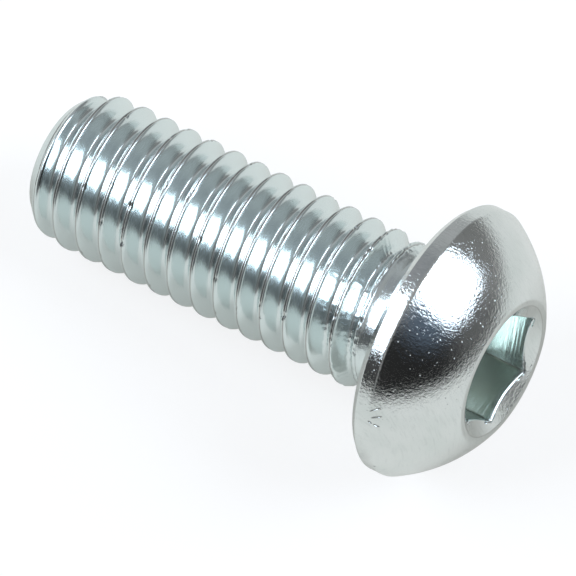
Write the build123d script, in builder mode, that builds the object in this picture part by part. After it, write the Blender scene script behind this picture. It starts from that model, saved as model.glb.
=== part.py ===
from build123d import *
from math import atan, atan2, ceil, cos, degrees, hypot, radians, sin, tan
import os

# Button head screw, M6 x 16: one piece, cold-forged and thread-rolled.
# Millimetres. The screw lies on its side, as it comes to rest: on the rim of its head and on
# the thread near its tip, with its head towards +X and its axis over the X axis.
# The origin is on the floor, below the middle of the screw.

# head
head_diameter = 10.4
head_height = 3.2
rim_height = 0.8  # straight band round the head, from the bearing face up to the dome
rim_bevel = 0.25  # between the bearing face and the band, as wide as it is high
brow_round = 0.2  # between the band and the dome

# socket for a 4 mm hexagon key
across_flats = 4.0
socket_depth = 2.1
point_depth = 0.35  # shallow cone that the punch leaves at the bottom
countersink_diameter = 5.14
countersink_angle = 120
land_width = 0.24  # flat ring between the countersink and the dome

# shank and its rolled thread; lengths are from the bearing face towards the tip
shank_length = 15.9
thread_diameter = 5.93
pitch = 1.0
flank_angle = 60
tip_chamfer = 0.6
tip_round = 0.3
lead_length = 0.75  # behind the chamfer the crests are rolled low
lead_depth = 0.17
full_crest_end = 2.1  # from here the crests sink towards the neck
full_groove_end = 1.72  # from here the groove runs out
runout_turns = 0.8
neck_diameter = 5.46
neck_length = 1.3
neck_fillet = 0.35
groove_clearance = 0.04  # the shape that cuts the groove stands this far out of the crests

# turns about the screw's own axis, counted from the top of the lying screw
thread_turn = 108.0  # where the groove's full depth ends
hexagon_turn = 33.4  # a corner of the socket

head_radius = head_diameter / 2
thread_radius = thread_diameter / 2
neck_radius = neck_diameter / 2
lead_radius = thread_radius - lead_depth
tip_radius = lead_radius - tip_chamfer
full_crest_start = shank_length - tip_chamfer - lead_length
countersink_radius = countersink_diameter / 2
countersink_point = countersink_radius / tan(radians(countersink_angle / 2))
cone_down = (Align.CENTER, Align.CENTER, Align.MAX)

# thread profile: the crest is an eighth of the pitch wide and the root a sixth
flank_slope = tan(radians(flank_angle / 2))
root_width = pitch / 6
thread_depth = (pitch - pitch / 8 - root_width) / 2 / flank_slope
root_radius = thread_radius - thread_depth

# The dome is part of a ball round a point on the axis, from the band up to the flat ring.
flat_radius = countersink_radius + land_width
dome_gain = head_height**2 + flat_radius**2 - rim_height**2 - head_radius**2
dome_centre = dome_gain / (head_height - rim_height) / 2
dome_radius = hypot(head_radius, rim_height - dome_centre)
dome_start = atan2(rim_height - dome_centre, head_radius)
dome_end = atan2(head_height - dome_centre, flat_radius)
dome_half = (dome_start + dome_end) / 2
dome_middle = (dome_radius * cos(dome_half), dome_centre + dome_radius * sin(dome_half))


def thread_groove(turns, flare=0.0):
    """The space between two crests, swept up the thread from zero height.

    flare is the angle at which the groove leaves the axis.
    """
    opening = thread_depth + groove_clearance
    foot = root_width / 2
    mouth = foot + opening * flank_slope
    with BuildPart() as groove:
        with BuildLine():
            Helix(pitch=pitch, height=turns * pitch, radius=root_radius, cone_angle=flare)
        with BuildSketch(Plane(origin=(root_radius, 0, 0), x_dir=(1, 0, 0), z_dir=(0, -1, 0))):
            Polygon((0, -foot), (opening, -mouth), (opening, mouth), (0, foot), align=None)
        sweep(is_frenet=True)
    return groove.part


# The groove starts at least half a pitch beyond the tip, and its end rises out of the neck.
one_turn = thread_groove(1)
full_turns = ceil((shank_length - full_groove_end) / pitch + 0.5)
runout_rise = neck_radius + groove_clearance - root_radius
runout = thread_groove(runout_turns, degrees(atan(runout_rise / (runout_turns * pitch))))

rounded_corners = (
    ((neck_radius, 0), neck_fillet),
    ((head_radius, rim_height), brow_round),
    ((tip_radius, -shank_length), tip_round),
)

# The screw upright: the bearing face is at zero height and the tip is below it.
with BuildPart() as upright:
    with BuildSketch(Plane.XZ) as section:
        with BuildLine():
            Polyline(
                (flat_radius, head_height),
                (0, head_height),
                (0, -shank_length),
                (tip_radius, -shank_length),
                (lead_radius, tip_chamfer - shank_length),
                (thread_radius, -full_crest_start),
                (thread_radius, -full_crest_end),
                (neck_radius, -neck_length),
                (neck_radius, 0),
                (head_radius - rim_bevel, 0),
                (head_radius, rim_bevel),
                (head_radius, rim_height),
            )
            ThreePointArc((head_radius, rim_height), dome_middle, (flat_radius, head_height))
        make_face()
        for corner, radius in rounded_corners:
            fillet(section.vertices().sort_by_distance(corner)[0], radius)
    revolve(axis=Axis.Z)

    with Locations(Location((0, 0, -full_groove_end), (0, 0, thread_turn))):
        add(runout, mode=Mode.SUBTRACT)
    for turn in range(full_turns):
        with Locations(Location((0, 0, -full_groove_end - (turn + 1) * pitch), (0, 0, thread_turn))):
            add(one_turn, mode=Mode.SUBTRACT)

    with BuildSketch(Plane.XY.offset(head_height - socket_depth)):
        RegularPolygon(across_flats / 2, 6, major_radius=False, rotation=hexagon_turn)
    extrude(amount=socket_depth, mode=Mode.SUBTRACT)
    with Locations((0, 0, head_height - socket_depth)):
        Cone(0, across_flats / 2, point_depth, align=cone_down, mode=Mode.SUBTRACT)
    with Locations((0, 0, head_height)):
        Cone(0, countersink_radius, countersink_point, align=cone_down, mode=Mode.SUBTRACT)

# The floor touches the rim's bevel and the first full crests.
rest_tilt = atan2(head_radius - thread_radius, rim_bevel + full_crest_start)
face_height = head_radius * cos(rest_tilt) - rim_bevel * sin(rest_tilt)
tip_reach = shank_length * cos(rest_tilt) + tip_radius * sin(rest_tilt)
head_reach = head_height * cos(rest_tilt) + flat_radius * sin(rest_tilt)
lying = Plane(
    origin=((tip_reach - head_reach) / 2, 0, face_height),
    x_dir=(-sin(rest_tilt), 0, cos(rest_tilt)),
    z_dir=(cos(rest_tilt), 0, sin(rest_tilt)),
)

with BuildPart() as button_head_screw:
    with Locations(lying.location):
        add(upright.part)
button_head_screw.part.label = "button_head_screw"

os.makedirs("parts", exist_ok=True)
export_step(button_head_screw.part, "parts/button_head_screw.step")
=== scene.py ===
# Button head screw on a white table, between two soft boxes.
# The thread and the head are Geometry Nodes trees that work in the screw's own frame,
# in millimetres: z runs along the axis, zero at the bearing face, plus towards the head.
import math

import bmesh
import bpy
from mathutils import Matrix, Vector


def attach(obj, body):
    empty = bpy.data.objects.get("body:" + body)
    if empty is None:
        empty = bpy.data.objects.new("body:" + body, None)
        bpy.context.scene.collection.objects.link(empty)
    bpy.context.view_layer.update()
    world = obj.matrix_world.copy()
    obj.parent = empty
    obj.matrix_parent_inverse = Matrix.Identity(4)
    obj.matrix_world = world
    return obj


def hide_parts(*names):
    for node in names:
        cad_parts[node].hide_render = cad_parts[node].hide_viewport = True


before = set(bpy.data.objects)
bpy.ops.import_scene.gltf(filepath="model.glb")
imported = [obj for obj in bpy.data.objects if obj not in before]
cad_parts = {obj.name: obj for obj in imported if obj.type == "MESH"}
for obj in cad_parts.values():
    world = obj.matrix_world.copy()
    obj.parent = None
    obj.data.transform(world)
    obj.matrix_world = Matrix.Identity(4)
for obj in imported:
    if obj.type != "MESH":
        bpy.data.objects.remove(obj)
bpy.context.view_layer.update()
print("stage 1: frame loaded")

mm = 0.001
fullTurn = 2 * math.pi
weld = 0.0004  # points nearer than this, in millimetres, become one


def addNode(tree, kind, settings=None, inputs=None):
    node = tree.nodes.new(kind)
    for name, value in (settings or {}).items():
        setattr(node, name, value)
    for key, value in (inputs or {}).items():
        if isinstance(value, bpy.types.NodeSocket):
            tree.links.new(value, node.inputs[key])
        else:
            node.inputs[key].default_value = value
    return node


def toLinear(hexText):
    parts = [int(hexText[i:i + 2], 16) / 255 for i in (1, 3, 5)]
    return tuple(p / 12.92 if p < 0.04045 else ((p + 0.055) / 1.055) ** 2.4 for p in parts) + (1.0,)


# the screw's sizes, the same as in the frame, and the grid's fineness
screw = {
    "headDiameter": 10.4, "headHeight": 3.2, "rimHeight": 0.8, "rimBevel": 0.25, "browRound": 0.2,
    "acrossFlats": 4.0, "socketDepth": 2.1, "pointDepth": 0.35, "countersink": 5.14, "landWidth": 0.24,
    "shankLength": 15.9, "threadDiameter": 5.93, "pitch": 1.0, "tipChamfer": 0.6, "tipRound": 0.3,
    "leadLength": 0.75, "leadDepth": 0.17, "fullCrestEnd": 2.1, "fullGrooveEnd": 1.72,
    "runoutTurns": 0.8, "neckDiameter": 5.46, "neckLength": 1.3, "neckFillet": 0.35,
    "grooveClearance": 0.04, "threadTurn": 108.0, "hexagonTurn": 33.4, "columns": 252, "rowsPerPitch": 18,
}
headR = screw["headDiameter"] / 2
headH = screw["headHeight"]
rimH = screw["rimHeight"]
threadR = screw["threadDiameter"] / 2
neckR = screw["neckDiameter"] / 2
leadR = threadR - screw["leadDepth"]
tipR = leadR - screw["tipChamfer"]
tipZ = -screw["shankLength"]
sinkR = screw["countersink"] / 2
flatR = sinkR + screw["landWidth"]
flats = screw["acrossFlats"] / 2
flankSlope = math.tan(math.radians(30))  # half of the 60 degrees between flanks
sinkSlope = math.tan(math.radians(60))  # half of the countersink's 120 degrees
rootHalf = screw["pitch"] / 12
rootR = threadR - (screw["pitch"] * 7 / 16 - rootHalf) / flankSlope
fullCrestStart = screw["shankLength"] - screw["tipChamfer"] - screw["leadLength"]
joinReach = 0.15
tipJoin = tipZ + joinReach  # the thread's grid runs from here, on the tip's chamfer,
neckJoin = -0.75  # to here, on the plain neck

# where the screw lies: on its rim and its first full crest
restTilt = math.atan2(headR - threadR, screw["rimBevel"] + fullCrestStart)
axis = Vector((math.cos(restTilt), 0, math.sin(restTilt)))
upward = Vector((-axis.z, 0, axis.x))
sideways = axis.cross(upward)
tipReach = screw["shankLength"] * axis.x + tipR * axis.z
headReach = headH * axis.x + flatR * axis.z
faceHeight = headR * axis.x - screw["rimBevel"] * axis.z
facePoint = Vector(((tipReach - headReach) / 2, 0, faceHeight)) * mm
lying = Matrix.Translation(facePoint) @ Matrix((upward, sideways, axis)).transposed().to_4x4()


# Bright zinc plating with a blue passivation, over cold-forged steel: a clear mirror with a faint
# haze. The thread and the socket are coloured grey-green, a painted tint of light thrown to and fro in
# them, and the socket's colour is darker as painted shade. The forged head is dimpled like fine orange
# peel and lightly scratched; rolling has burnished the thread.
plating = {
    "headColour": "#E6EAE9", "cloudColour": "#DCE2E0", "threadColour": "#E2ECEC",
    "socketShadeColour": "#D2DBD6", "shadeLineColour": "#8A8079", "shadeLine": 0.7,
    "headRoughness": 0.085, "threadRoughness": 0.205, "socketRoughness": 0.22,
    "haze": 0.6, "hazeRoughness": 0.36, "peelPerMm": 9.5, "peelDepth": 0.0108, "pitsPerMm": 7.0,
    "pitDepth": 0.009, "scratchesPerMm": 17.0, "scratchDepth": 0.0010, "scratchTone": 0.93,
    "drawnPerMm": 9.0, "drawnDepth": 0.012, "nickTone": 0.5, "nickDepth": 3.0,
    "cloudsPerMm": 0.6, "scratchWays": ((0.5, 0.3), (2.1, -0.5)),
}
# where each kind of skin starts and ends: heights along the axis, and a distance from it
zones = {
    "headStart": -0.9, "headFull": 0.1, "keyRadius": 2.4, "keyEnd": 2.92, "keyFull": 2.84,
    "wallStart": 1.1, "wallFull": 1.3, "runoutStart": -2.3, "runoutFull": -1.5, "runoutShare": 0.8,
}
# short nicks in the brow: (degrees round the axis, radius, height) of each end, and half the width
nicks = (
    ((65.0, 5.20, 0.67), (62.0, 4.99, 1.17), 0.042),
    ((68.0, 5.17, 0.86), (66.5, 4.94, 1.25), 0.048),
    ((71.0, 5.12, 0.94), (72.5, 4.97, 1.19), 0.042),
    ((69.5, 5.19, 0.76), (71.0, 5.12, 0.94), 0.034),
    ((12.5, 5.20, 0.55), (10.5, 5.10, 0.98), 0.034),
    ((101.0, 5.20, 0.76), (101.5, 5.16, 0.88), 0.045),
)


def makePlating():
    material = bpy.data.materials.new("bright_zinc_plated_steel")
    material.use_nodes = True
    tree = material.node_tree
    tree.nodes.clear()
    place = addNode(tree, "ShaderNodeTexCoord")
    own = addNode(tree, "ShaderNodeMapping", {"vector_type": "TEXTURE"}, {
        "Vector": place.outputs["Object"], "Location": facePoint,
        "Rotation": lying.to_euler(), "Scale": (mm, mm, mm)}).outputs[0]
    parts = addNode(tree, "ShaderNodeSeparateXYZ", None, {0: own})
    flat = addNode(tree, "ShaderNodeCombineXYZ", None, {0: parts.outputs["X"], 1: parts.outputs["Y"]})
    fromAxis = addNode(tree, "ShaderNodeVectorMath", {"operation": "LENGTH"}, {0: flat.outputs[0]})

    # 1 in each zone, 0 outside it: the head, the key's socket below its countersink, the outside
    headZone = addNode(tree, "ShaderNodeMapRange", {"interpolation_type": "SMOOTHSTEP"}, {
        "Value": parts.outputs["Z"],
        "From Min": zones["headStart"], "From Max": zones["headFull"]}).outputs[0]
    nearAxis = addNode(tree, "ShaderNodeMath", {"operation": "LESS_THAN"}, {
        0: fromAxis.outputs["Value"], 1: zones["keyRadius"]}).outputs[0]
    below = addNode(tree, "ShaderNodeMapRange", None, {
        "Value": parts.outputs["Z"], "From Min": zones["keyEnd"], "From Max": zones["keyFull"]}).outputs[0]
    within = addNode(tree, "ShaderNodeMath", {"operation": "MULTIPLY"}, {0: nearAxis, 1: below}).outputs[0]
    inSocket = addNode(tree, "ShaderNodeMath", {"operation": "MULTIPLY"}, {0: headZone, 1: within}).outputs[0]
    dome = addNode(tree, "ShaderNodeMath", {"operation": "SUBTRACT"}, {0: headZone, 1: inSocket}).outputs[0]

    cloud = addNode(tree, "ShaderNodeTexNoise", None, {
        "Vector": own, "Scale": plating["cloudsPerMm"], "Detail": 4.0})
    worn = addNode(tree, "ShaderNodeMapRange", None, {
        "Value": cloud.outputs["Fac"], "From Min": 0.4, "From Max": 0.7})
    headTint = addNode(tree, "ShaderNodeMix", {"data_type": "RGBA"}, {
        "Factor": worn.outputs[0],
        "A": toLinear(plating["headColour"]), "B": toLinear(plating["cloudColour"])})
    # painted shade: a brown-grey line darkens the crests' fold, the socket's corners and the line round its
    # mouth
    shadeLine = addNode(tree, "ShaderNodeAttribute", {"attribute_name": "shadeLine"})
    shadeLineShare = addNode(tree, "ShaderNodeMath", {"operation": "MULTIPLY"}, {
        0: shadeLine.outputs["Fac"], 1: plating["shadeLine"]})
    # the thread's grey-green is a painted tint of light thrown to and fro; the socket's darker colour is
    # painted shade
    tint = toLinear(plating["threadColour"])
    for share, colour in ((inSocket, toLinear(plating["socketShadeColour"])),
                          (dome, headTint.outputs["Result"]),
                          (shadeLineShare.outputs[0], toLinear(plating["shadeLineColour"]))):
        tint = addNode(tree, "ShaderNodeMix", {"data_type": "RGBA"}, {
            "Factor": share, "A": tint, "B": colour}).outputs["Result"]
    domeRough = addNode(tree, "ShaderNodeMapRange", None, {
        "Value": dome, "To Min": plating["threadRoughness"], "To Max": plating["headRoughness"]})
    rough = addNode(tree, "ShaderNodeMapRange", None, {
        "Value": inSocket, "To Min": domeRough.outputs[0], "To Max": plating["socketRoughness"]})

    # the forged skin: peel, and pits that catch a point of light
    peel = addNode(tree, "ShaderNodeTexNoise", None, {
        "Vector": own, "Scale": plating["peelPerMm"], "Detail": 3.0, "Roughness": 0.65})
    pits = addNode(tree, "ShaderNodeTexVoronoi", {"feature": "F1"}, {
        "Vector": own, "Scale": plating["pitsPerMm"]})
    pitKind = addNode(tree, "ShaderNodeSeparateColor", None, {0: pits.outputs["Color"]})
    pitSize = addNode(tree, "ShaderNodeMapRange", None, {
        "Value": pitKind.outputs[0], "From Min": 0.5, "To Min": 0.001, "To Max": 0.27})
    pitForm = addNode(tree, "ShaderNodeMapRange", {"interpolation_type": "SMOOTHSTEP"}, {
        "Value": pits.outputs["Distance"], "From Max": pitSize.outputs[0]})
    height = addNode(tree, "ShaderNodeMath", {"operation": "MULTIPLY"}, {
        0: pitForm.outputs[0], 1: plating["pitDepth"] / plating["peelDepth"]}).outputs[0]
    tone = 1.0
    # hairlines from the tumbling barrel, in two directions
    for turnZ, turnY in plating["scratchWays"]:
        run = addNode(tree, "ShaderNodeMapping", None, {
            "Vector": own, "Rotation": (0.0, turnY, turnZ),
            "Scale": (1.3, plating["scratchesPerMm"], 3.0)})
        lines = addNode(tree, "ShaderNodeTexNoise", None, {
            "Vector": run.outputs[0], "Scale": 1.0, "Detail": 2.0})
        fine = addNode(tree, "ShaderNodeMapRange", None, {
            "Value": lines.outputs["Fac"], "From Min": 0.60, "From Max": 0.68,
            "To Max": -plating["scratchDepth"] / plating["peelDepth"]})
        dull = addNode(tree, "ShaderNodeMapRange", None, {
            "Value": lines.outputs["Fac"], "From Min": 0.58, "From Max": 0.68, "To Min": 1.0,
            "To Max": plating["scratchTone"]})
        tone = addNode(tree, "ShaderNodeMath", {"operation": "MULTIPLY"}, {
            0: tone, 1: dull.outputs[0]}).outputs[0]
        height = addNode(tree, "ShaderNodeMath", {"operation": "ADD"}, {
            0: height, 1: fine.outputs[0]}).outputs[0]
    for first, last, halfWidth in nicks:
        ends = []
        for degrees, radius, z in (first, last):
            a = math.radians(degrees)
            ends.append(Vector((radius * math.cos(a), radius * math.sin(a), z)))
        middle, way = (ends[0] + ends[1]) / 2, ends[1] - ends[0]
        local = addNode(tree, "ShaderNodeMapping", {"vector_type": "TEXTURE"}, {
            "Vector": own, "Location": middle, "Rotation": way.to_track_quat("X", "Z").to_euler(),
            "Scale": (way.length / 2, halfWidth, halfWidth * 2)})
        reach = addNode(tree, "ShaderNodeVectorMath", {"operation": "LENGTH"}, {0: local.outputs[0]})
        form = addNode(tree, "ShaderNodeMapRange", {"interpolation_type": "SMOOTHSTEP"}, {
            "Value": reach.outputs["Value"], "From Min": 1.0, "From Max": 0.3,
            "To Max": -plating["nickDepth"]})
        dull = addNode(tree, "ShaderNodeMapRange", None, {
            "Value": reach.outputs["Value"], "From Min": 1.0, "From Max": 0.5, "To Min": 1.0,
            "To Max": plating["nickTone"]})
        height = addNode(tree, "ShaderNodeMath", {"operation": "ADD"}, {
            0: height, 1: form.outputs[0]}).outputs[0]
        tone = addNode(tree, "ShaderNodeMath", {"operation": "MULTIPLY"}, {
            0: tone, 1: dull.outputs[0]}).outputs[0]
    skin = addNode(tree, "ShaderNodeMath", {"operation": "ADD"}, {0: peel.outputs["Fac"], 1: height})
    # the forged skin also shows round the thread's end, where the rolls left it
    runout = addNode(tree, "ShaderNodeMapRange", {"interpolation_type": "SMOOTHSTEP"}, {
        "Value": parts.outputs["Z"], "From Min": zones["runoutStart"], "From Max": zones["runoutFull"],
        "To Max": zones["runoutShare"]})
    outside = addNode(tree, "ShaderNodeMath", {"operation": "MAXIMUM"}, {0: runout.outputs[0], 1: dome})
    skinShare = addNode(tree, "ShaderNodeMath", {"operation": "SUBTRACT"}, {
        0: outside.outputs[0], 1: inSocket})
    # only the head is marked by hairlines and nicks
    toneHere = addNode(tree, "ShaderNodeMix", {"data_type": "FLOAT"}, {"Factor": dome, "A": 1.0, "B": tone})
    toned = addNode(tree, "ShaderNodeVectorMath", {"operation": "SCALE"}, {
        0: tint, "Scale": toneHere.outputs[0]})
    skinBump = addNode(tree, "ShaderNodeBump", None, {
        "Strength": skinShare.outputs[0], "Distance": plating["peelDepth"] * mm, "Height": skin.outputs[0]})

    # the punch leaves fine marks that run round the socket's walls
    drawn = addNode(tree, "ShaderNodeMapping", None, {
        "Vector": own, "Scale": (0.8, 0.8, plating["drawnPerMm"])})
    streaks = addNode(tree, "ShaderNodeTexNoise", None, {
        "Vector": drawn.outputs[0], "Scale": 1.0, "Detail": 2.0})
    onWall = addNode(tree, "ShaderNodeMapRange", None, {
        "Value": parts.outputs["Z"], "From Min": zones["wallStart"], "From Max": zones["wallFull"]})
    drawnShare = addNode(tree, "ShaderNodeMath", {"operation": "MULTIPLY"}, {
        0: inSocket, 1: onWall.outputs[0]})
    drawnBump = addNode(tree, "ShaderNodeBump", None, {
        "Strength": drawnShare.outputs[0], "Distance": plating["drawnDepth"] * mm,
        "Height": streaks.outputs["Fac"],
        "Normal": skinBump.outputs[0]})

    shine = addNode(tree, "ShaderNodeBsdfPrincipled", None, {
        "Base Color": toned.outputs[0], "Metallic": 1.0, "Roughness": rough.outputs[0],
        "Coat Weight": plating["haze"], "Coat Roughness": plating["hazeRoughness"],
        "Normal": drawnBump.outputs[0]})
    addNode(tree, "ShaderNodeOutputMaterial", None, {"Surface": shine.outputs[0]})
    return material


zinc = makePlating()
print("stage 2: plating made")


def startTree(name, sizes, counts):
    tree = bpy.data.node_groups.new(name, "GeometryNodeTree")
    tree.interface.new_socket(name="Geometry", in_out="INPUT", socket_type="NodeSocketGeometry")
    for socketName, value in sizes.items():
        tree.interface.new_socket(name=socketName, in_out="INPUT", socket_type="NodeSocketFloat")
    for socketName in counts:
        tree.interface.new_socket(name=socketName, in_out="INPUT", socket_type="NodeSocketInt")
    tree.interface.new_socket(name="Material", in_out="INPUT", socket_type="NodeSocketMaterial")
    tree.interface.new_socket(name="Geometry", in_out="OUTPUT", socket_type="NodeSocketGeometry")
    return tree


def endTree(tree, entry, grid, place, shadeLine=0.0):
    # the painted shade line is stored on each point for the plating to darken
    marked = addNode(tree, "GeometryNodeStoreNamedAttribute", {"data_type": "FLOAT", "domain": "POINT"}, {
        "Geometry": grid, "Name": "shadeLine", "Value": shadeLine})
    moved = addNode(tree, "GeometryNodeSetPosition", None, {"Geometry": marked.outputs[0], "Position": place})
    closed = addNode(tree, "GeometryNodeMergeByDistance", None, {
        "Geometry": moved.outputs[0], "Distance": weld})
    smooth = addNode(tree, "GeometryNodeSetShadeSmooth", None, {"Geometry": closed.outputs[0]})
    real = addNode(tree, "GeometryNodeRealizeInstances", None, {"Geometry": smooth.outputs[0]})
    done = addNode(tree, "GeometryNodeSetMaterial", None, {
        "Geometry": real.outputs[0], "Material": entry.outputs["Material"]})
    addNode(tree, "NodeGroupOutput", None, {0: done.outputs[0]})


def grown(name, mesh, tree, values):
    host = bpy.data.objects.new(name, mesh)
    bpy.context.collection.objects.link(host)
    modifier = host.modifiers.new("form", "NODES")
    modifier.node_group = tree
    for item in tree.interface.items_tree:
        if item.in_out == "INPUT" and item.name in values:
            modifier[item.identifier] = values[item.name]
    ready = host.evaluated_get(bpy.context.evaluated_depsgraph_get())
    result = bpy.data.meshes.new_from_object(ready)
    bpy.data.objects.remove(host)
    return result


def addFormula(tree, known, steps):
    for name, operation, *values in steps:
        known[name] = addNode(tree, "ShaderNodeMath", {"operation": operation}, {
            i: known.get(v, v) for i, v in enumerate(values)}).outputs[0]


# The rolled thread is one grid that winds round the shank.
# across is the share of a turn, groove counts the grooves from the last full one (0)
# towards the tip (-1, -2 ...), and offset is the way from the groove's middle in pitches.
thread = {
    "Pitch": screw["pitch"], "Thread radius": threadR, "Root radius": rootR, "Root half": rootHalf,
    "Neck radius": neckR, "Tip join": tipJoin, "Neck join": neckJoin,
    "Groove end": -screw["fullGrooveEnd"], "Groove end turn": screw["threadTurn"] / 360,
    "Runout turns": screw["runoutTurns"], "Crest round": 0.10, "Root round": 0.20,
    "Fold depth": 0.035, "Fold half width": 0.05, "Nick depth": 0.09, "Torn depth": 0.10, "Crowding": 0.64,
    "Start turn": screw["hexagonTurn"] / 360,
}
firstGroove = -15
lastGroove = 1.5
# how the shank's parts blend, how fast the forms fade in along it, and how the crests are worn
rolling = {
    "tipBlend": 0.16, "leadBlend": 0.03, "neckBlend": 0.06, "outlineBlend": 0.05,
    "easePerMm": 4.0, "crestsPerMm": 5.0, "roundingBias": 0.001,
    "knocksPerMm": 2.6, "knockLevel": 0.63, "knockGain": 8.0, "nicksPerPitch": 8.0,
    "ragsPerMm": 8.0, "tornPerMm": 2.0, "tornFrom": 3.2,
}


def makeThread():
    tree = startTree("rolledThread", thread, ("Columns", "Rows per pitch", "Rows"))
    entry = addNode(tree, "NodeGroupInput")
    entries = entry.outputs
    columnEnds = addNode(tree, "ShaderNodeMath", {"operation": "ADD"}, {0: entries["Columns"], 1: 1.0})
    grid = addNode(tree, "GeometryNodeMeshGrid", None, {
        "Size X": 1.0, "Size Y": 1.0, "Vertices X": columnEnds.outputs[0], "Vertices Y": entries["Rows"]})
    spot = addNode(tree, "GeometryNodeInputPosition")
    xyz = addNode(tree, "ShaderNodeSeparateXYZ", None, {0: spot.outputs[0]})
    known = {"gridX": xyz.outputs["X"], "gridY": xyz.outputs["Y"], "rows": entries["Rows"],
             "perPitch": entries["Rows per pitch"]}
    for name in thread:
        known[name] = entries[name]
    addFormula(tree, known, [
        ("fromStart", "ADD", "gridX", 0.5),
        ("across", "ADD", "fromStart", "Start turn"),
        ("rowSpan", "SUBTRACT", "rows", 1.0),
        ("rowShare", "ADD", "gridY", 0.5),
        ("row", "MULTIPLY", "rowShare", "rowSpan"),
        ("level", "DIVIDE", "row", "perPitch"),
        # rows crowd towards the crests, half a pitch from the grooves
        ("fromCrest", "SUBTRACT", "level", 0.5),
        ("crestAngle", "MULTIPLY", "fromCrest", fullTurn),
        ("crestSine", "SINE", "crestAngle"),
        ("crowd", "DIVIDE", "Crowding", fullTurn),
        ("crowdShift", "MULTIPLY", "crestSine", "crowd"),
        ("crowded", "SUBTRACT", "level", "crowdShift"),
        ("groove", "ADD", "crowded", float(firstGroove)),
        ("turn", "SUBTRACT", "across", "Groove end turn"),
        ("winding", "ADD", "groove", "turn"),
        ("freeZ", "MULTIPLY_ADD", "winding", "Pitch", "Groove end"),
        ("lowZ", "MAXIMUM", "freeZ", "Tip join"),
        ("z", "MINIMUM", "lowZ", "Neck join"),
        ("fromEnd", "SUBTRACT", "z", "Groove end"),
        ("fromEndPitches", "DIVIDE", "fromEnd", "Pitch"),
        ("level2", "SUBTRACT", "fromEndPitches", "turn"),
        ("levelBiased", "ADD", "level2", rolling["roundingBias"]),
        ("nearest", "ROUND", "levelBiased"),
        ("signedOffset", "SUBTRACT", "level2", "nearest"),
        ("offset", "ABSOLUTE", "signedOffset"),
        # the groove, and how its floor rises out past its end
        ("pastEnd", "ADD", "turn", "nearest"),
        ("riseShare", "DIVIDE", "pastEnd", "Runout turns"),
        ("riseLow", "MAXIMUM", "riseShare", 0.0),
        ("riseGain", "SUBTRACT", "Neck radius", "Root radius"),
        ("riseFull", "ADD", "riseGain", screw["grooveClearance"]),
        ("rise", "MULTIPLY", "riseLow", "riseFull"),
        ("floor", "ADD", "Root radius", "rise"),
        ("away", "MULTIPLY", "offset", "Pitch"),
        ("pastRoot", "SUBTRACT", "away", "Root half"),
        ("flank", "DIVIDE", "pastRoot", flankSlope),
        ("wall", "SMOOTH_MAX", "flank", 0.0, "Root round"),
        ("grooveR", "ADD", "floor", "wall"),
        # the shank's outline: chamfer, low first crests, thread, neck
        ("fromTip", "SUBTRACT", "z", tipZ),
        ("chamfer", "ADD", "fromTip", tipR),
        ("leadWay", "SUBTRACT", "fromTip", screw["tipChamfer"]),
        ("lead", "MULTIPLY_ADD", "leadWay", screw["leadDepth"] / screw["leadLength"], leadR),
        ("tipSide", "SMOOTH_MIN", "chamfer", "lead", rolling["tipBlend"]),
        ("tipAndThread", "SMOOTH_MIN", "tipSide", "Thread radius", rolling["leadBlend"]),
        ("neckWay", "MULTIPLY_ADD", "z", -1.0, -screw["neckLength"]),
        ("neckSide", "MULTIPLY_ADD", "neckWay",
         (threadR - neckR) / (screw["fullCrestEnd"] - screw["neckLength"]), neckR),
        ("neckPart", "SMOOTH_MAX", "neckSide", "Neck radius", rolling["neckBlend"]),
        ("outline", "SMOOTH_MIN", "tipAndThread", "neckPart", rolling["outlineBlend"]),
        # the crest's rounding fades out at the tip, where the grid joins the tip's own
        ("fromJoin", "SUBTRACT", "z", "Tip join"),
        ("joinShare", "MULTIPLY", "fromJoin", rolling["easePerMm"]),
        ("joinEase", "MINIMUM", "joinShare", 1.0),
        ("crestRound", "MULTIPLY", "joinEase", "Crest round"),
        ("plainR", "SMOOTH_MIN", "outline", "grooveR", "crestRound"),
        ("crestHeight", "SUBTRACT", "outline", "floor"),
        ("crestShare", "MULTIPLY", "crestHeight", rolling["crestsPerMm"]),
        ("crestLow", "MAXIMUM", "crestShare", 0.0),
        ("crestFree", "MINIMUM", "crestLow", 1.0),
        ("fromNeck", "SUBTRACT", "Neck join", "z"),
        ("neckShare", "MULTIPLY", "fromNeck", rolling["easePerMm"]),
        ("neckEase", "MINIMUM", "neckShare", 1.0),
        ("ends", "MULTIPLY", "joinEase", "neckEase"),
        ("crestHere", "MULTIPLY", "crestFree", "ends"),
        # the fold that rolling leaves along the crest
        ("toCrest", "SUBTRACT", 0.5, "offset"),
        ("foldWay", "DIVIDE", "toCrest", "Fold half width"),
        ("foldNear", "MINIMUM", "foldWay", 1.0),
        ("foldAngle", "MULTIPLY", "foldNear", math.pi),
        ("foldCosine", "COSINE", "foldAngle"),
        ("foldShape", "MULTIPLY_ADD", "foldCosine", 0.5, 0.5),
        ("foldFull", "MULTIPLY", "foldShape", "Fold depth"),
        ("fold", "MULTIPLY", "foldFull", "crestHere"),
        ("creased", "SUBTRACT", "plainR", "fold"),
        ("angle", "MULTIPLY", "across", fullTurn),
        ("cosine", "COSINE", "angle"),
        ("sine", "SINE", "angle"),
        ("plainX", "MULTIPLY", "creased", "cosine"),
        ("plainY", "MULTIPLY", "creased", "sine"),
    ])
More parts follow.
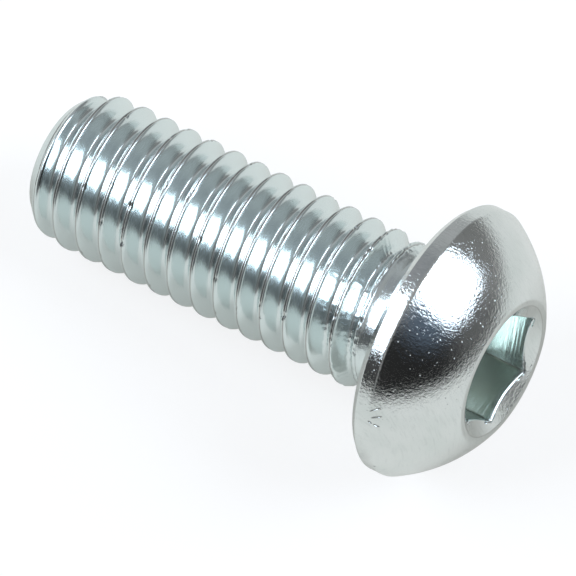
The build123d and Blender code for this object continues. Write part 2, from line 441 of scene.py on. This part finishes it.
    # small nicks in the crests, from knocks in the barrel
    spotNow = addNode(tree, "ShaderNodeCombineXYZ", None, {
        0: known["plainX"], 1: known["plainY"], 2: known["z"]})
    knocks = addNode(tree, "ShaderNodeTexNoise", None, {
        "Vector": spotNow.outputs[0], "Scale": rolling["knocksPerMm"], "Detail": 2.0})
    known["knock"] = knocks.outputs["Fac"]
    rags = addNode(tree, "ShaderNodeTexNoise", None, {
        "Vector": spotNow.outputs[0], "Scale": rolling["ragsPerMm"], "Detail": 1.0})
    known["rag"] = rags.outputs["Fac"]
    addFormula(tree, known, [
        ("nearCrest", "MULTIPLY_ADD", "toCrest", -rolling["nicksPerPitch"], 1.0),
        ("onCrest", "MAXIMUM", "nearCrest", 0.0),
        ("knockHigh", "SUBTRACT", "knock", rolling["knockLevel"]),
        ("knockOver", "MAXIMUM", "knockHigh", 0.0),
        ("knockHere", "MULTIPLY", "knockOver", "onCrest"),
        ("knockShare", "MULTIPLY", "knockHere", "crestHere"),
        ("knockCut", "MULTIPLY", "knockShare", rolling["knockGain"]),
        ("nick", "MULTIPLY", "knockCut", "Nick depth"),
        ("nicked", "SUBTRACT", "creased", "nick"),
        # the last crest, next to the head, is torn where the rolls ran out
        ("tornWay", "MULTIPLY_ADD", "z", rolling["tornPerMm"], rolling["tornPerMm"] * rolling["tornFrom"]),
        ("tornLow", "MAXIMUM", "tornWay", 0.0),
        ("tornHere", "MINIMUM", "tornLow", 1.0),
        ("tornCrest", "MULTIPLY", "tornHere", "crestHere"),
        ("tornForm", "SUBTRACT", "rag", 0.5),
        ("tornShare", "MULTIPLY", "tornForm", "tornCrest"),
        ("torn", "MULTIPLY", "tornShare", "Torn depth"),
        ("radius", "ADD", "nicked", "torn"),
        ("x", "MULTIPLY", "radius", "cosine"),
        ("y", "MULTIPLY", "radius", "sine"),
        # painted shade along the crest's fold
        ("paintedShade", "MULTIPLY", "foldShape", "crestHere"),
    ])
    place = addNode(tree, "ShaderNodeCombineXYZ", None, {0: known["x"], 1: known["y"], 2: known["z"]})
    endTree(tree, entry, grid.outputs["Mesh"], place.outputs[0], known["paintedShade"])
    rows = round((lastGroove - firstGroove) * screw["rowsPerPitch"]) + 1
    values = dict(thread)
    values.update({
        "Columns": screw["columns"], "Rows per pitch": screw["rowsPerPitch"], "Rows": rows, "Material": zinc})
    return grown("thread", bpy.data.meshes.new("threadSeed"), tree, values)


threadMesh = makeThread()
print("stage 3: thread rolled,", len(threadMesh.polygons), "faces")


# The head and the tip are a section turned round the axis.
arc = {"step": 0.26, "margin": 0.02}  # radians between an arc's rows, and a row just past each end


def rounded(corners):
    # each corner is (radius from the axis, height, rounding); a rounded corner becomes an arc
    rows = []
    for i, (r, z, radius) in enumerate(corners):
        here = Vector((r, z))
        if not radius:
            rows.append(here)
            continue
        before = (Vector(corners[i - 1][:2]) - here).normalized()
        after = (Vector(corners[i + 1][:2]) - here).normalized()
        half = before.angle(after) / 2
        reach = radius / math.tan(half)
        centre = here + (before + after).normalized() * (radius / math.sin(half))
        first = here + before * reach - centre
        last = here + after * reach - centre
        sweep = math.atan2(first.x * last.y - first.y * last.x, first.dot(last))
        steps = max(3, round(abs(sweep) / arc["step"]))
        rows.append(here + before * (reach + arc["margin"]))
        for k in range(steps + 1):
            a = sweep * k / steps
            rows.append(centre + Vector((first.x * math.cos(a) - first.y * math.sin(a),
                                         first.x * math.sin(a) + first.y * math.cos(a))))
        rows.append(here + after * (reach + arc["margin"]))
    return [(row.x, row.y, 0.0, 0.0) for row in rows]


head = {
    "bevelRound": 0.06, "landRound": 0.10, "mouthRound": 0.04, "domeSteps": 16, "edgeRound": 0.05,
    "neckRow": -0.6, "faceRows": (3.6, 4.3), "sinkMargin": 0.12, "sinkShares": (0.3, 0.6, 0.85),
    "wallRows": (2.7, 2.4, 2.0, 1.6, 1.3), "wallMargin": 0.05, "floorMargins": (0.03, 0.05),
    "floorRows": (1.7, 1.3, 0.9, 0.5, 0.2, 0.0),
}


def headSection():
    domeZ = (headH ** 2 + flatR ** 2 - rimH ** 2 - headR ** 2) / (headH - rimH) / 2
    domeR = math.hypot(headR, rimH - domeZ)
    start = math.atan2(rimH - domeZ, headR)
    end = math.atan2(headH - domeZ, flatR)
    corners = [
        (neckR, neckJoin, 0), (neckR, head["neckRow"], 0), (neckR, 0, screw["neckFillet"]),
        *((r, 0, 0) for r in head["faceRows"]),
        (headR - screw["rimBevel"], 0, head["bevelRound"]), (headR, screw["rimBevel"], head["bevelRound"]),
        (headR, rimH, screw["browRound"]),
    ]
    for k in range(1, head["domeSteps"]):
        a = start + (end - start) * k / head["domeSteps"]
        corners.append((domeR * math.cos(a), domeZ + domeR * math.sin(a), 0))
    coneStart = sinkR - head["sinkMargin"]
    corners += [(flatR, headH, head["landRound"]), (sinkR, headH, head["mouthRound"]),
                (coneStart, headH - head["sinkMargin"] / sinkSlope, 0)]
    rows = rounded(corners)
    # on the countersink and in the socket: (radius at a flat, height, hexagon share, cone share)
    edge = head["edgeRound"]
    for share in head["sinkShares"]:
        rows.append((coneStart + (flats - coneStart) * share, 0.0, share, 1.0))
    rows += [(flats + edge, 0.0, 1.0, 1.0), (flats + edge * 0.3, -edge * 0.25, 1.0, 1.0),
             (flats, -edge, 1.0, 1.0)]
    floorZ = headH - screw["socketDepth"]
    for z in (*head["wallRows"], floorZ + head["wallMargin"]):
        rows.append((flats, z, 1.0, 0.0))
    # the punch's cone at the bottom is round
    hexEnd, coneEnd = (flats - margin for margin in head["floorMargins"])
    rows.append((hexEnd, floorZ, 1.0, 0.0))
    for r in (coneEnd, *head["floorRows"]):
        rows.append((r, floorZ - screw["pointDepth"] * (1 - r / flats), 0.0, 0.0))
    return rows


def sectionMesh(name, rows):
    mesh = bpy.data.meshes.new(name)
    mesh.from_pydata([(r, 0, z) for r, z, h, c in rows], [], [])
    for layer, column in (("hexShare", 2), ("coneShare", 3)):
        values = mesh.attributes.new(layer, "FLOAT", "POINT")
        values.data.foreach_set("value", [row[column] for row in rows])
    return mesh


turned = {
    "Start turn": screw["hexagonTurn"] / 360, "Corner limit": 1.152, "Corner round": 0.02,
    "Sink radius": sinkR, "Head height": headH,
}
# painted shade: how steeply it fades from a corner of the socket, in flats, and from the mouth, in
# millimetres
paintedShade = {"cornerFade": 33.0, "cornerFrom": 15.5, "mouthFade": 24.0, "mouthShare": 0.7, "mouthDepth": 0.1}


def makeTurnedTree():
    tree = startTree("turnedSection", turned, ("Columns", "Rows"))
    entry = addNode(tree, "NodeGroupInput")
    entries = entry.outputs
    columnEnds = addNode(tree, "ShaderNodeMath", {"operation": "ADD"}, {0: entries["Columns"], 1: 1.0})
    grid = addNode(tree, "GeometryNodeMeshGrid", None, {
        "Size X": 1.0, "Size Y": 1.0, "Vertices X": columnEnds.outputs[0], "Vertices Y": entries["Rows"]})
    spot = addNode(tree, "GeometryNodeInputPosition")
    xyz = addNode(tree, "ShaderNodeSeparateXYZ", None, {0: spot.outputs[0]})
    known = {"gridX": xyz.outputs["X"], "gridY": xyz.outputs["Y"], "rows": entries["Rows"]}
    for name in turned:
        known[name] = entries[name]
    addFormula(tree, known, [
        ("sinceCorner", "ADD", "gridX", 0.5),
        ("across", "ADD", "sinceCorner", "Start turn"),
        ("rowSpan", "SUBTRACT", "rows", 1.0),
        ("rowShare", "ADD", "gridY", 0.5),
        ("rowFree", "MULTIPLY", "rowShare", "rowSpan"),
        ("row", "ROUND", "rowFree"),
    ])
    sampled = {}
    for layer, kind in (("position", "FLOAT_VECTOR"), ("hexShare", "FLOAT"), ("coneShare", "FLOAT")):
        if layer == "position":
            source = addNode(tree, "GeometryNodeInputPosition").outputs[0]
        else:
            source = addNode(tree, "GeometryNodeInputNamedAttribute", {"data_type": kind}, {
                "Name": layer}).outputs[0]
        sampled[layer] = addNode(tree, "GeometryNodeSampleIndex", {"data_type": kind, "domain": "POINT"}, {
            "Geometry": entries["Geometry"], "Value": source, "Index": known["row"]}).outputs[0]
    section = addNode(tree, "ShaderNodeSeparateXYZ", None, {0: sampled["position"]})
    known.update({"sectionR": section.outputs["X"], "sectionZ": section.outputs["Z"],
                  "hexShare": sampled["hexShare"], "coneShare": sampled["coneShare"]})
    sixth = fullTurn / 6
    addFormula(tree, known, [
        ("angle", "MULTIPLY", "across", fullTurn),
        # a regular hexagon with slightly rounded corners, as a radius at each angle
        ("sixths", "MULTIPLY", "sinceCorner", 6.0),
        ("fromFlat", "SUBTRACT", "sixths", 0.5),
        ("flatNumber", "ROUND", "fromFlat"),
        ("inFlat", "SUBTRACT", "fromFlat", "flatNumber"),
        ("flatAngle", "MULTIPLY", "inFlat", sixth),
        ("flatCosine", "COSINE", "flatAngle"),
        ("sharp", "DIVIDE", 1.0, "flatCosine"),
        ("hexFactor", "SMOOTH_MIN", "sharp", "Corner limit", "Corner round"),
        ("hexGain", "SUBTRACT", "hexFactor", 1.0),
        ("factor", "MULTIPLY_ADD", "hexGain", "hexShare", 1.0),
        ("radius", "MULTIPLY", "sectionR", "factor"),
        ("inside", "SUBTRACT", "Sink radius", "radius"),
        ("coneDrop", "DIVIDE", "inside", sinkSlope),
        ("coneZ", "SUBTRACT", "Head height", "coneDrop"),
        ("z", "MULTIPLY_ADD", "coneZ", "coneShare", "sectionZ"),
        ("cosine", "COSINE", "angle"),
        ("sine", "SINE", "angle"),
        ("x", "MULTIPLY", "radius", "cosine"),
        ("y", "MULTIPLY", "radius", "sine"),
        # painted shade darkens the corners between the socket's walls
        ("fromMiddle", "ABSOLUTE", "inFlat"),
        ("nearCorner", "MULTIPLY_ADD", "fromMiddle", paintedShade["cornerFade"], -paintedShade["cornerFrom"]),
        ("inCorner", "MAXIMUM", "nearCorner", 0.0),
        ("onWall", "GREATER_THAN", "sectionZ", headH - screw["socketDepth"]),
        ("wallCorner", "MULTIPLY", "inCorner", "onWall"),
        ("cornerShade", "MULTIPLY", "wallCorner", "hexShare"),
        # and the sharp line round the countersink's mouth
        ("toMouth", "SUBTRACT", "sectionR", "Sink radius"),
        ("mouthWay", "ABSOLUTE", "toMouth"),
        ("nearMouth", "MULTIPLY_ADD", "mouthWay", -paintedShade["mouthFade"], paintedShade["mouthShare"]),
        ("mouthLow", "MAXIMUM", "nearMouth", 0.0),
        ("onTop", "GREATER_THAN", "sectionZ", headH - paintedShade["mouthDepth"]),
        ("mouthShade", "MULTIPLY", "mouthLow", "onTop"),
        ("paintedShade", "ADD", "cornerShade", "mouthShade"),
    ])
    place = addNode(tree, "ShaderNodeCombineXYZ", None, {0: known["x"], 1: known["y"], 2: known["z"]})
    endTree(tree, entry, grid.outputs["Mesh"], place.outputs[0], known["paintedShade"])
    return tree


def makeTurned(name, rows):
    values = dict(turned)
    values.update({"Columns": screw["columns"], "Rows": len(rows), "Material": zinc})
    return grown(name, sectionMesh(name + "Section", rows), turnedTree, values)


turnedTree = makeTurnedTree()
headMesh = makeTurned("head", headSection())
tip = {"faceRows": (0, 0.8, 1.5)}
tipMesh = makeTurned("tip", rounded([
    *((r, tipZ, 0) for r in tip["faceRows"]),
    (tipR, tipZ, screw["tipRound"]), (tipR + joinReach, tipJoin, 0)]))
print("stage 4: head and tip turned,", len(headMesh.polygons) + len(tipMesh.polygons), "faces")


def joinSkin(parts):
    skin = bmesh.new()
    for part in parts:
        skin.from_mesh(part)
        bpy.data.meshes.remove(part)
    bmesh.ops.remove_doubles(skin, verts=skin.verts, dist=weld)
    bmesh.ops.recalc_face_normals(skin, faces=skin.faces)
    openEdges = sum(1 for edge in skin.edges if len(edge.link_faces) != 2)
    for face in skin.faces:
        face.smooth = True
    mesh = bpy.data.meshes.new("button_head_screw_skin")
    skin.to_mesh(mesh)
    skin.free()
    mesh.transform(lying @ Matrix.Scale(mm, 4))
    mesh.materials.clear()
    mesh.materials.append(zinc)
    body = bpy.data.objects.new("zinc_plated_screw", mesh)
    bpy.context.collection.objects.link(body)
    print("stage 5: skin joined,", len(mesh.polygons), "faces,", openEdges, "open edges")
    return body


body = joinSkin([threadMesh, headMesh, tipMesh])
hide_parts("button_head_screw")
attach(body, "root")


table = {"radius": 1.2, "seenByCamera": "#FFFFFF", "seenByMetal": "#E0DBD1", "plainWhite": 0.78,
         "cloudsPerMetre": 9.0, "cloudLow": 0.99, "roughness": 0.5, "sides": 96}


def makeTable():
    # white board: the camera sees it close to plain white, with the screw's shadow faintly on it,
    # and the metal sees it a little greyer
    material = bpy.data.materials.new("matt_white_board")
    material.use_nodes = True
    tree = material.node_tree
    tree.nodes.clear()
    ray = addNode(tree, "ShaderNodeLightPath")
    place = addNode(tree, "ShaderNodeTexCoord")
    cloud = addNode(tree, "ShaderNodeTexNoise", None, {
        "Vector": place.outputs["Object"], "Scale": table["cloudsPerMetre"]})
    level = addNode(tree, "ShaderNodeMapRange", None, {
        "Value": cloud.outputs["Fac"], "To Min": table["cloudLow"], "To Max": 1.0})
    colour = addNode(tree, "ShaderNodeMix", {"data_type": "RGBA"}, {
        "Factor": ray.outputs["Is Camera Ray"],
        "A": toLinear(table["seenByMetal"]), "B": toLinear(table["seenByCamera"])})
    tint = addNode(tree, "ShaderNodeVectorMath", {"operation": "SCALE"}, {
        0: colour.outputs["Result"], "Scale": level.outputs[0]})
    board = addNode(tree, "ShaderNodeBsdfDiffuse", None, {
        "Color": tint.outputs[0], "Roughness": table["roughness"]})
    white = addNode(tree, "ShaderNodeEmission", None, {"Color": (1, 1, 1, 1), "Strength": 1.0})
    share = addNode(tree, "ShaderNodeMath", {"operation": "MULTIPLY"}, {
        0: ray.outputs["Is Camera Ray"], 1: table["plainWhite"]})
    seen = addNode(tree, "ShaderNodeMixShader", None, {
        0: share.outputs[0], 1: board.outputs[0], 2: white.outputs[0]})
    addNode(tree, "ShaderNodeOutputMaterial", None, {"Surface": seen.outputs[0]})

    disc = bmesh.new()
    bmesh.ops.create_circle(disc, cap_ends=True, segments=table["sides"], radius=table["radius"])
    mesh = bpy.data.meshes.new("table")
    disc.to_mesh(mesh)
    disc.free()
    board = bpy.data.objects.new("table", mesh)
    mesh.materials.append(material)
    bpy.context.collection.objects.link(board)


# Grey cloth walls for the metal to show, unseen by the camera. Each patch of the cloth is
# (azimuth, elevation, degrees to its full colour, degrees to where it ends, colour).
tent = {
    "segments": 64, "rings": 32, "footGap": 0.001, "wall": (0.36, 0.36, 0.36),
    "patches": (
        (120, 28, 14, 45, (0.41, 0.42, 0.43)),
        (146, 54, 8, 26, (0.29, 0.30, 0.32)),
        (68, 12, 20, 42, (0.20, 0.20, 0.20)),
        (8, 8, 18, 36, (0.12, 0.12, 0.12)),
        (-115, 8, 16, 38, (0.05, 0.05, 0.05)),
        (-38, 22, 22, 44, (0.02, 0.02, 0.02)),
        (-8, 46, 8, 24, (0.09, 0.12, 0.165)),
    ),
}


def makeTent():
    material = bpy.data.materials.new("grey_tent_cloth")
    material.use_nodes = True
    tree = material.node_tree
    tree.nodes.clear()
    place = addNode(tree, "ShaderNodeTexCoord")
    way = addNode(tree, "ShaderNodeVectorMath", {"operation": "NORMALIZE"}, {0: place.outputs["Object"]})
    colour = (*tent["wall"], 1.0)
    for azimuth, elevation, full, none, patch in tent["patches"]:
        a, e = math.radians(azimuth), math.radians(elevation)
        middle = (math.cos(a) * math.cos(e), math.sin(a) * math.cos(e), math.sin(e))
        near = addNode(tree, "ShaderNodeVectorMath", {"operation": "DOT_PRODUCT"}, {
            0: way.outputs[0], 1: middle})
        share = addNode(tree, "ShaderNodeMapRange", {"interpolation_type": "SMOOTHSTEP"}, {
            "Value": near.outputs["Value"], "From Min": math.cos(math.radians(none)),
            "From Max": math.cos(math.radians(full))})
        colour = addNode(tree, "ShaderNodeMix", {"data_type": "RGBA"}, {
            "Factor": share.outputs[0], "A": colour, "B": (*patch, 1.0)}).outputs["Result"]
    glow = addNode(tree, "ShaderNodeEmission", None, {"Color": colour, "Strength": 1.0})
    addNode(tree, "ShaderNodeOutputMaterial", None, {"Surface": glow.outputs[0]})

    dome = bmesh.new()
    bmesh.ops.create_uvsphere(
        dome, u_segments=tent["segments"], v_segments=tent["rings"], radius=table["radius"])
    bmesh.ops.delete(dome, geom=[v for v in dome.verts if v.co.z < -tent["footGap"]], context="VERTS")
    mesh = bpy.data.meshes.new("tent")
    dome.to_mesh(mesh)
    dome.free()
    mesh.materials.append(material)
    cloth = bpy.data.objects.new("tent", mesh)
    bpy.context.collection.objects.link(cloth)
    cloth.visible_camera = False


makeTable()
makeTent()

# the camera looks down on the lying screw from the front right, along cameraBack
camera = {
    "focal": 485.366, "film": 36, "place": (0.070801, -0.109433, 0.251892),
    "azimuth": 32.8055, "elevation": 62.4289, "nearest": 0.01, "farthest": 10,
}
turnA, turnE = math.radians(camera["azimuth"]), math.radians(camera["elevation"])
cameraRight = Vector((math.cos(turnA), math.sin(turnA), 0))
cameraBack = Vector((
    math.sin(turnA) * math.cos(turnE), -math.cos(turnA) * math.cos(turnE), math.sin(turnE)))
cameraUp = cameraBack.cross(cameraRight)
cameraData = bpy.data.cameras.new("camera")
cameraData.lens = camera["focal"]
cameraData.sensor_width = camera["film"]
cameraData.clip_start = camera["nearest"]
cameraData.clip_end = camera["farthest"]
cameraObject = bpy.data.objects.new("camera", cameraData)
cameraObject.matrix_world = Matrix.Translation(camera["place"]) @ Matrix(
    (cameraRight, cameraUp, cameraBack)).transposed().to_4x4()
bpy.context.collection.objects.link(cameraObject)
bpy.context.scene.camera = cameraObject

# two square soft boxes, one on each side of the camera
softBox = {"way": (0.602, 0.347, 0.720), "facing": (0.671, 0.390, 0.630), "distance": 0.45,
           "width": 0.285, "length": 0.272, "twist": 15.2, "power": 1.40, "colour": (0.88, 0.99, 1.13)}


def makeSoftBoxes():
    facing = Vector(softBox["facing"]).normalized()
    level = Vector((-facing.y, facing.x, 0)).normalized()
    steep = facing.cross(level)
    twist = math.radians(softBox["twist"])
    along = level * math.sin(twist) + steep * math.cos(twist)
    place = Vector(softBox["way"]) * softBox["distance"]
    for side in ("right", "left"):
        if side == "left":  # the mirror image, across the camera's upright plane
            facing, along, place = (v - 2 * v.dot(cameraRight) * cameraRight for v in (facing, along, place))
        data = bpy.data.lights.new(side + "SoftBox", "AREA")
        data.shape = "RECTANGLE"
        data.size = softBox["width"]
        data.size_y = softBox["length"]
        data.energy = softBox["power"]
        data.color = softBox["colour"]
        lamp = bpy.data.objects.new(side + "SoftBox", data)
        across = along.cross(facing)
        lamp.matrix_world = Matrix.Translation(place) @ Matrix((across, along, facing)).transposed().to_4x4()
        lamp.visible_camera = False
        bpy.context.collection.objects.link(lamp)


makeSoftBoxes()

# only the camera sees the world, past the table's edge
world = bpy.data.worlds.new("white")
world.use_nodes = True
world.node_tree.nodes["Background"].inputs["Color"].default_value = (1, 1, 1, 1)
bpy.context.scene.world = world
bpy.context.scene.view_settings.view_transform = "Standard"
print("stage 6: table, tent, soft boxes and camera set")
